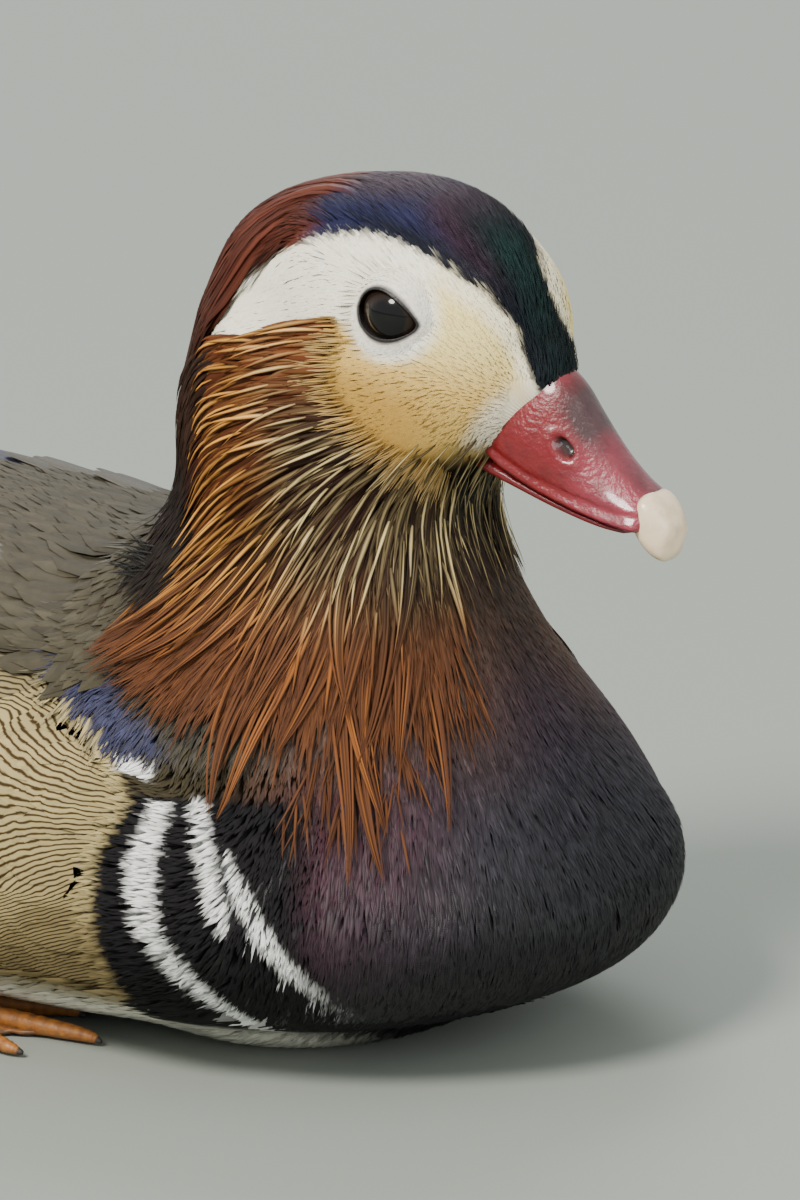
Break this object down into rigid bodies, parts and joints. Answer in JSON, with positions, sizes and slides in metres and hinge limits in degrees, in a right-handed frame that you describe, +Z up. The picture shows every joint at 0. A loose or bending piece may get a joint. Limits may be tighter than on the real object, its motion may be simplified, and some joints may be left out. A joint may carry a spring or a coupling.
{
  "type": "mandarin duck",
  "caption": "Life-size mandarin drake at rest on its belly, head slightly turned, with crest, ruff of long feathers and raised wing sails.",
  "frame": {"origin": "on the floor, in the middle of the flat under the belly", "axes": "+X the way the body points, +Y the bird's left, +Z up"},
  "size_m": [0.329, 0.1216, 0.1467],
  "materials": {
    "plumage": "matte feathers, glossy on crown and breast",
    "quills": "satin feathers",
    "bill": "glossy",
    "nail": "smooth",
    "eye": "wet gloss",
    "leg": "scaly skin, satin"
  },
  "bodies": {
    "root": {"torso": "plumage", "neck": "plumage", "head": "plumage", "tail": "quills", "wing_right": "quills", "wing_left": "quills", "bill_upper": "bill", "bill_lower": "bill", "bill_nail": "nail", "eye_right": "eye", "eye_left": "eye", "leg_right": "leg", "leg_left": "leg"}
  },
  "joints": []
}
